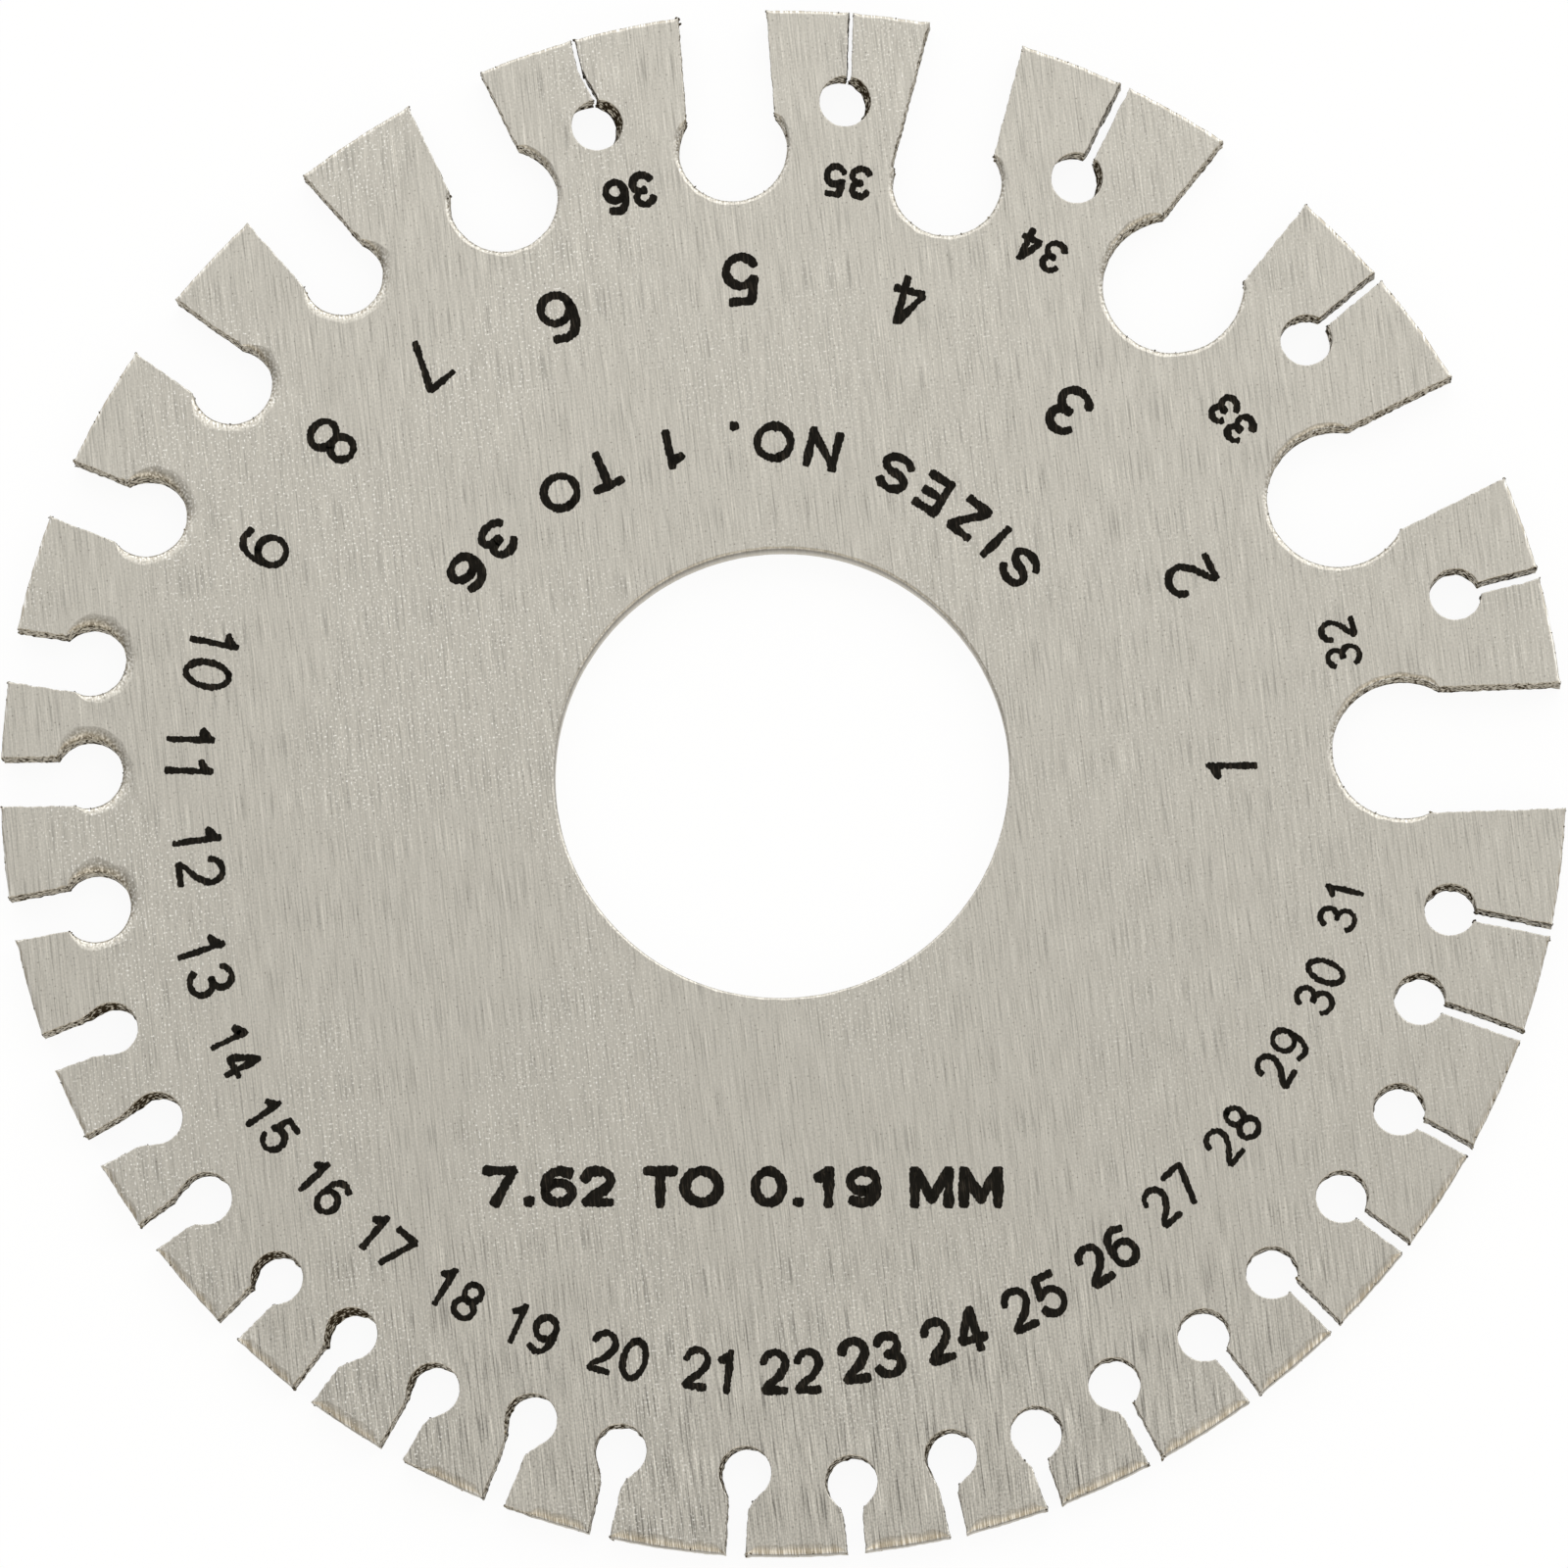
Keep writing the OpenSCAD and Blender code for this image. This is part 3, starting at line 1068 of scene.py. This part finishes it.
# Strokes of each sign about its middle line, with a height of 1, and how much room it takes along the line
SIGNS = {
    "0": (0.8, [oval(0, 0.5, 0.27, 0.5)]),
    "1": (0.72, [[(-0.15, 0.8), (0.03, 0.95)], [(-0.08, 0.8), (0.03, 0.83)], [(0.05, 1), (0.05, 0)]]),
    "2": (
        0.8,
        [
            bow(0, 0.71, 0.26, 0.29, 168, -28) + [(0.1, 0.36), (-0.16, 0.14), (-0.22, 0.05)],
            [(-0.2, 0), (0.22, 0)],
        ],
    ),
    "3": (0.8, [bow(-0.01, 0.755, 0.235, 0.245, 155, -90), bow(-0.01, 0.265, 0.27, 0.265, 90, -155)]),
    "4": (0.8, [[(0.12, 0), (0.12, 1)], [(0.06, 0.96), (-0.24, 0.33)], [(-0.22, 0.26), (0.26, 0.26)]]),
    "5": (
        0.8,
        [
            [(0.18, 1), (-0.14, 1)],
            [(-0.17, 0.97), (-0.23, 0.53)],
            bow(0, 0.325, 0.27, 0.325, 138, -152),
        ],
    ),
    "6": (0.8, SIX),
    "7": (0.8, [[(-0.25, 1), (0.24, 1)], [(0.26, 0.96), (-0.08, 0)]]),
    "8": (0.8, [oval(0, 0.755, 0.215, 0.245), oval(0, 0.255, 0.265, 0.255)]),
    "9": (0.8, [[(-x, 1 - y) for x, y in stroke] for stroke in SIX]),
    ".": (0.42, [[(-0.01, 0.03), (0.01, 0.03)]]),
    "E": (
        0.76,
        [
            [(-0.22, 1), (-0.22, 0)],
            [(-0.2, 1), (0.2, 1)],
            [(-0.2, 0.52), (0.16, 0.52)],
            [(-0.2, 0), (0.22, 0)],
        ],
    ),
    "I": (0.42, [[(0, 0), (0, 1)]]),
    "M": (
        1.0,
        [
            [(-0.34, 0), (-0.34, 1)],
            [(-0.31, 0.96), (0, 0.15)],
            [(0, 0.15), (0.31, 0.96)],
            [(0.34, 1), (0.34, 0)],
        ],
    ),
    "N": (0.86, [[(-0.27, 0), (-0.27, 1)], [(-0.25, 0.94), (0.25, 0.06)], [(0.27, 0), (0.27, 1)]]),
    "O": (0.94, [oval(0, 0.5, 0.34, 0.5)]),
    "S": (0.78, [bow(0, 0.745, 0.25, 0.255, 25, 270) + bow(0, 0.245, 0.265, 0.245, 90, -160)]),
    "T": (0.76, [[(-0.25, 1), (0.25, 1)], [(0, 1), (0, 0)]]),
    "Z": (0.8, [[(-0.2, 1), (0.2, 1)], [(0.22, 0.94), (-0.22, 0.06)], [(-0.2, 0), (0.22, 0)]]),
    " ": (0.5, []),
}

# Each number's middle, as bearing from +X, anticlockwise (deg), and distance from the centre (mm), then its
# height and its stroke (mm). They were etched one by one, and the ink ran most in 22 to 26
NUMBER_MARKS = [
    (0.50, 27.35, 3.15, 0.45),
    (25.94, 27.64, 3.25, 0.54),
    (52.13, 28.40, 3.30, 0.60),
    (75.46, 30.23, 3.15, 0.52),
    (94.93, 30.79, 3.35, 0.62),
    (116.00, 31.51, 3.40, 0.62),
    (130.78, 33.50, 3.25, 0.50),
    (143.37, 34.46, 3.35, 0.52),
    (156.35, 34.66, 3.25, 0.48),
    (168.61, 35.60, 3.10, 0.46),
    (178.12, 36.12, 3.00, 0.46),
    (188.31, 35.81, 3.05, 0.46),
    (198.84, 36.87, 3.05, 0.46),
    (207.45, 37.24, 2.50, 0.46),
    (215.11, 37.64, 2.55, 0.46),
    (222.70, 37.53, 2.55, 0.46),
    (230.39, 37.30, 2.60, 0.48),
    (238.68, 37.37, 2.60, 0.48),
    (246.33, 37.18, 2.60, 0.46),
    (254.92, 36.91, 2.70, 0.47),
    (263.67, 36.70, 2.70, 0.52),
    (271.28, 36.57, 2.80, 0.55),
    (278.98, 36.17, 2.90, 0.63),
    (287.13, 35.98, 2.85, 0.60),
    (295.49, 35.84, 2.85, 0.55),
    (303.86, 35.57, 2.75, 0.54),
    (312.48, 35.10, 2.65, 0.44),
    (320.99, 35.20, 2.60, 0.43),
    (330.10, 35.02, 2.55, 0.40),
    (338.15, 35.20, 2.55, 0.40),
    (346.42, 34.90, 2.45, 0.38),
    (13.20, 34.90, 2.30, 0.40),
    (38.59, 35.08, 2.15, 0.50),
    (64.06, 36.03, 2.20, 0.46),
    (84.02, 37.01, 2.15, 0.46),
    (104.82, 37.32, 2.35, 0.54),
]


def run_past(line, reach):
    """A stroke's line, drawn out at both ends."""
    points = [Vector(point) for point in line]
    first, last = points[0] - points[1], points[-1] - points[-2]
    return [points[0] + first.normalized() * reach, *points[1:-1], points[-1] + last.normalized() * reach]


def sign_strokes(words, height, stroke, widen=1.0, spread=0.0):
    """Strokes of a row of signs about its middle: for each sign, its place along the row and its lines."""
    rise = height - stroke
    total = sum(SIGNS[sign][0] * height * widen for sign in words) + spread * (len(words) - 1)
    at = -total / 2
    row = []
    for sign in words:
        room, strokes = SIGNS[sign]
        middle = at + room * height * widen / 2
        lines = [[(x * height * widen, (y - 0.5) * rise) for x, y in line] for line in strokes]
        row.append((middle, [run_past(line, stroke / 2) for line in lines]))
        at += room * height * widen + spread
    return row


def stroke_carrier(name, drawn):
    """A curve object of strokes, given as (points on the numbered face, half width of the stroke)."""
    curve = bpy.data.curves.new(name, "CURVE")
    curve.dimensions = "3D"
    for points, half in drawn:
        spline = curve.splines.new("POLY")
        spline.points.add(len(points) - 1)
        for slot, (x, y) in zip(spline.points, points):
            slot.co = (x, y, THICKNESS, 1)
            slot.radius = half
    carrier = bpy.data.objects.new(name, curve)
    bpy.context.scene.collection.objects.link(carrier)
    return carrier


def ink_tree():
    """Lays ink along strokes: a flat ribbon of uneven width with blunt ends, run along the brush lines."""
    tree, given = new_tree(
        "inked strokes",
        [
            ("Step", "NodeSocketFloat"),
            ("Thickness", "NodeSocketFloat"),
            ("Ragged", "NodeSocketFloat"),
            ("Ink", "NodeSocketMaterial"),
        ],
    )
    # Sizes of the swellings along a stroke and of its ragged places
    swelling, rag = 0.9 * MM, 0.13 * MM
    even = add(
        tree,
        "GeometryNodeResampleCurve",
        {"Curve": given["Geometry"], "Length": given["Step"]},
        mode="LENGTH",
    )
    level = add(tree, "GeometryNodeSetCurveNormal", {"Curve": even}, mode="Z_UP")
    half = add(tree, "GeometryNodeInputRadius")
    where = add(tree, "GeometryNodeInputPosition")
    swell = add(tree, "ShaderNodeTexNoise", {"Vector": where, "Scale": 1 / swelling, "Detail": 2})
    factor = add(tree, "ShaderNodeMapRange", (swell, 0.3, 0.7, 0.8, 1.2))
    # Blunt ends: the width falls only over the last quarter of the stroke's own width
    from_start = add(tree, "GeometryNodeSplineParameter", out="Length")
    whole = add(tree, "GeometryNodeSplineLength")
    left = add(tree, "ShaderNodeMath", (whole, from_start), operation="SUBTRACT")
    from_end = add(tree, "ShaderNodeMath", (from_start, left), operation="MINIMUM")
    in_strokes = add(tree, "ShaderNodeMath", (from_end, half), operation="DIVIDE")
    blunt = add(tree, "ShaderNodeMapRange", (in_strokes, 0, 0.5, 0.62, 1))
    inked_half = add(tree, "ShaderNodeMath", (half, factor), operation="MULTIPLY")
    scale = add(tree, "ShaderNodeMath", (inked_half, blunt), operation="MULTIPLY")
    profile = add(tree, "GeometryNodeCurvePrimitiveQuadrilateral", {"Width": 2, "Height": given["Thickness"]})
    ribbon = add(
        tree,
        "GeometryNodeCurveToMesh",
        {"Curve": level, "Profile Curve": profile, "Scale": scale, "Fill Caps": True},
    )
    run = add(tree, "ShaderNodeTexNoise", {"Vector": where, "Scale": 1 / rag, "Detail": 2}, out="Color")
    swing = add(tree, "ShaderNodeVectorMath", (run, (0.5, 0.5, 0.5)), operation="SUBTRACT")
    level_swing = add(tree, "ShaderNodeVectorMath", (swing, (0.6, 1, 0)), operation="MULTIPLY")
    offset = add(tree, "ShaderNodeVectorMath", {0: level_swing, "Scale": given["Ragged"]}, operation="SCALE")
    ragged = add(tree, "GeometryNodeSetPosition", {"Geometry": ribbon, "Offset": offset})
    real = add(tree, "GeometryNodeRealizeInstances", {"Geometry": ragged})
    finished = add(tree, "GeometryNodeSetMaterial", {"Geometry": real, "Material": given["Ink"]})
    add(tree, "NodeGroupOutput", {"Geometry": finished})
    return tree


def inked(context, name, drawn):
    """Lays ink along strokes on the numbered face and makes a piece of it."""
    marks, ink = context.scene.gauge_marks, matt_ink(context.scene.gauge_finish)
    values = {"Step": marks.sample, "Thickness": marks.ink_height, "Ragged": marks.ragged, "Ink": ink}
    mesh = grown_mesh(stroke_carrier(name, drawn), ink_tree(), values)
    mesh.shade_flat()
    return piece_from(name, mesh)


class GAUGE_OT_numbers(bpy.types.Operator):
    """Mark each slot with its number, feet to the rim"""

    bl_idname = "gauge.numbers"
    bl_label = "Numbers"

    # Two figures stand closer than one alone, by this factor
    pair_widen = 0.9

    def execute(self, context):
        marks = context.scene.gauge_marks
        drawn = []
        for number, (bearing, reach, tall, thick) in enumerate(NUMBER_MARKS, start=1):
            height = tall * MM * marks.number_scale
            stroke = thick * MM * marks.stroke_scale
            angle = math.radians(bearing)
            out = Vector((math.cos(angle), math.sin(angle)))
            right, up = Vector((-out.y, out.x)), -out
            widen = 1 if number < 10 else self.pair_widen
            for middle, lines in sign_strokes(str(number), height, stroke, widen):
                for line in lines:
                    points = [out * reach * MM + right * (middle + x) + up * y for x, y in line]
                    drawn.append((points, stroke / 2))
        inked(context, "numbers", drawn)
        return {"FINISHED"}


class GAUGE_OT_lettering(bpy.types.Operator):
    """Mark the range of sizes: the numbers in an arc over the hole, the widths in a line below it"""

    bl_idname = "gauge.lettering"
    bl_label = "Size range"

    # The lettering is wider than the numbers by this factor
    widen = 1.18
    # Middle and radius of the arc (mm), its middle bearing (deg) and its length (mm)
    arc_middle = Vector((-2.3, -1.2))
    arc_radius = 21.75
    arc_bearing = 90.5
    arc_length = 41
    arc_words = "SIZES NO. 1 TO 36"
    # Factor on its stroke
    arc_stroke = 0.9
    # Middle and length of the straight line (mm)
    line_middle = Vector((-2.2, -25.4))
    line_length = 31.8
    line_words = "7.62 TO 0.19 MM"
    # Factor on its stroke
    line_stroke = 1.05

    def execute(self, context):
        marks = context.scene.gauge_marks
        height = marks.line_height
        drawn = []

        def row(words, stroke, length):
            """The signs of a line, spaced out to its length."""
            taken = sum(SIGNS[sign][0] for sign in words) * height * self.widen
            spread = (length * MM - taken) / (len(words) - 1)
            return sign_strokes(words, height, stroke, self.widen, spread)

        stroke = self.arc_stroke * marks.line_stroke
        for middle, lines in row(self.arc_words, stroke, self.arc_length):
            angle = math.radians(self.arc_bearing) + middle / (self.arc_radius * MM)
            out = Vector((math.cos(angle), math.sin(angle)))
            right, up = Vector((-out.y, out.x)), -out
            foot = (self.arc_middle + out * self.arc_radius) * MM
            for line in lines:
                drawn.append(([foot + right * x + up * y for x, y in line], stroke / 2))
        stroke = self.line_stroke * marks.line_stroke
        for middle, lines in row(self.line_words, stroke, self.line_length):
            foot = self.line_middle * MM + Vector((middle, 0))
            for line in lines:
                drawn.append(([foot + point for point in line], stroke / 2))
        inked(context, "lettering", drawn)
        return {"FINISHED"}


class GAUGE_OT_stage(bpy.types.Operator):
    """Set the floor, the light and the camera"""

    bl_idname = "gauge.stage"
    bl_label = "Stage"

    # How far the floor lies under the plate, and the corners of its disc
    floor_gap = 0.02 * MM
    floor_corners = 96
    # Width of the camera's sensor (mm)
    sensor_width = 36

    def floor(self, stage):
        """White floor that shows as plain white to the eye and in reflections, and still takes the shadow."""
        sheet = bmesh.new()
        bmesh.ops.create_circle(sheet, cap_ends=True, segments=self.floor_corners, radius=stage.floor_radius)
        for corner in sheet.verts:
            corner.co.z = -self.floor_gap
        mesh = bpy.data.meshes.new("floor")
        sheet.to_mesh(mesh)
        sheet.free()
        material, tree = new_material("paper_floor_white")
        ray = add(tree, "ShaderNodeLightPath").node.outputs
        seen = add(
            tree, "ShaderNodeMath", (ray["Is Camera Ray"], ray["Is Glossy Ray"]), operation="MAXIMUM"
        )
        seen = add(tree, "ShaderNodeMath", (seen, ray["Is Transmission Ray"]), operation="MAXIMUM")
        share = add(tree, "ShaderNodeMath", (seen, stage.floor_glow), operation="MULTIPLY")
        paper = add(tree, "ShaderNodeBsdfDiffuse", {"Color": opaque(stage.floor_white)})
        white = add(tree, "ShaderNodeEmission", {"Color": (1, 1, 1, 1), "Strength": 1})
        mixed = add(tree, "ShaderNodeMixShader", (share, paper, white))
        add(tree, "ShaderNodeOutputMaterial", {"Surface": mixed})
        # The floor is white to look at, but no lamp
        material.cycles.emission_sampling = "NONE"
        mesh.materials.append(material)
        floor = bpy.data.objects.new("floor", mesh)
        bpy.context.scene.collection.objects.link(floor)

    def room(self, context, stage):
        """A soft white room, brighter behind the plate than in front of it."""
        world = bpy.data.worlds.new("white_room")
        world.use_nodes = True
        tree = world.node_tree
        tree.nodes.clear()
        way = add(tree, "ShaderNodeTexCoord", out="Generated")
        back = add(tree, "ShaderNodeSeparateXYZ", {"Vector": way}, out="Y")
        side = add(
            tree, "ShaderNodeMath", (back.node.outputs["X"], stage.light_right, 1), operation="MULTIPLY_ADD"
        )
        # Where the light rises and turns neutral, by its direction's Y, from -1 in front to 1 behind
        rise = add(tree, "ShaderNodeMapRange", (back, -0.02, 0.48, stage.light_front, stage.light_back))
        low = add(tree, "ShaderNodeMapRange", (back, -0.04, -0.5, 0, stage.light_low))
        level = add(tree, "ShaderNodeMath", (rise, low), operation="ADD")
        level = add(tree, "ShaderNodeMath", (level, side), operation="MULTIPLY")
        neutral = add(tree, "ShaderNodeMapRange", (back, -0.5, 0))
        warmth = add(
            tree,
            "ShaderNodeMix",
            {"Factor": neutral, MIX_A: opaque(stage.front_colour), MIX_B: (1, 1, 1, 1)},
            **COLOUR_MIX,
        )
        light = add(tree, "ShaderNodeBackground", {"Color": warmth, "Strength": level})
        add(tree, "ShaderNodeOutputWorld", {"Surface": light})
        # So even a room needs no search for its bright places
        world.cycles.sampling_method = "NONE"
        context.scene.world = world

    def camera(self, context, stage):
        """A camera that leans a little off straight down, as the walls in the holes show."""
        front, right = stage.lean_front, stage.lean_right
        back_axis = Vector(
            (math.sin(right), -math.sin(front) * math.cos(right), math.cos(front) * math.cos(right))
        )
        up_axis = Vector((0, math.cos(front), math.sin(front)))
        right_axis = up_axis.cross(back_axis)
        middle = Vector((0, 0, THICKNESS))
        place = middle + back_axis * stage.distance
        aim = middle + right_axis * stage.aim_right + up_axis * stage.aim_up
        toward = (place - aim).normalized()
        across = up_axis.cross(toward).normalized()
        upright = toward.cross(across)
        data = bpy.data.cameras.new("camera")
        data.sensor_fit = "AUTO"
        data.sensor_width = self.sensor_width
        data.lens = data.sensor_width * stage.distance / stage.field
        camera = bpy.data.objects.new("camera", data)
        turn = Matrix((across, upright, toward)).transposed().to_4x4()
        camera.matrix_world = Matrix.Translation(place) @ turn
        context.scene.collection.objects.link(camera)
        context.scene.camera = camera

    def execute(self, context):
        stage = context.scene.gauge_stage
        self.floor(stage)
        self.room(context, stage)
        self.camera(context, stage)
        context.scene.view_settings.view_transform = "Standard"
        return {"FINISHED"}


class GAUGE_PT_sidebar(bpy.types.Panel):
    """The gauge plate's sizes, finishes and steps"""

    bl_label = "Wire gauge plate"
    bl_idname = "GAUGE_PT_sidebar"
    bl_space_type = "VIEW_3D"
    bl_region_type = "UI"
    bl_category = "Gauge"

    def draw(self, context):
        for operator in OPERATORS:
            self.layout.operator(operator.bl_idname)
        for name in SETTINGS:
            group = getattr(context.scene, name)
            box = self.layout.box()
            for setting in group.__annotations__:
                box.prop(group, setting)


SETTINGS = {
    "gauge_edges": EdgeSizes,
    "gauge_finish": PlateFinish,
    "gauge_marks": MarkSizes,
    "gauge_stage": StudioStage,
}
OPERATORS = (GAUGE_OT_plate, GAUGE_OT_burrs, GAUGE_OT_numbers, GAUGE_OT_lettering, GAUGE_OT_stage)
CLASSES = (*SETTINGS.values(), *OPERATORS, GAUGE_PT_sidebar)


def register():
    for kind in CLASSES:
        bpy.utils.register_class(kind)
    for name, group in SETTINGS.items():
        setattr(bpy.types.Scene, name, PointerProperty(type=group))


def unregister():
    for name in SETTINGS:
        delattr(bpy.types.Scene, name)
    for kind in reversed(CLASSES):
        bpy.utils.unregister_class(kind)


def main():
    register()
    bpy.ops.gauge.plate()
    bpy.ops.gauge.burrs()
    bpy.ops.gauge.numbers()
    bpy.ops.gauge.lettering()
    bpy.ops.gauge.stage()


if __name__ == "__main__":
    main()
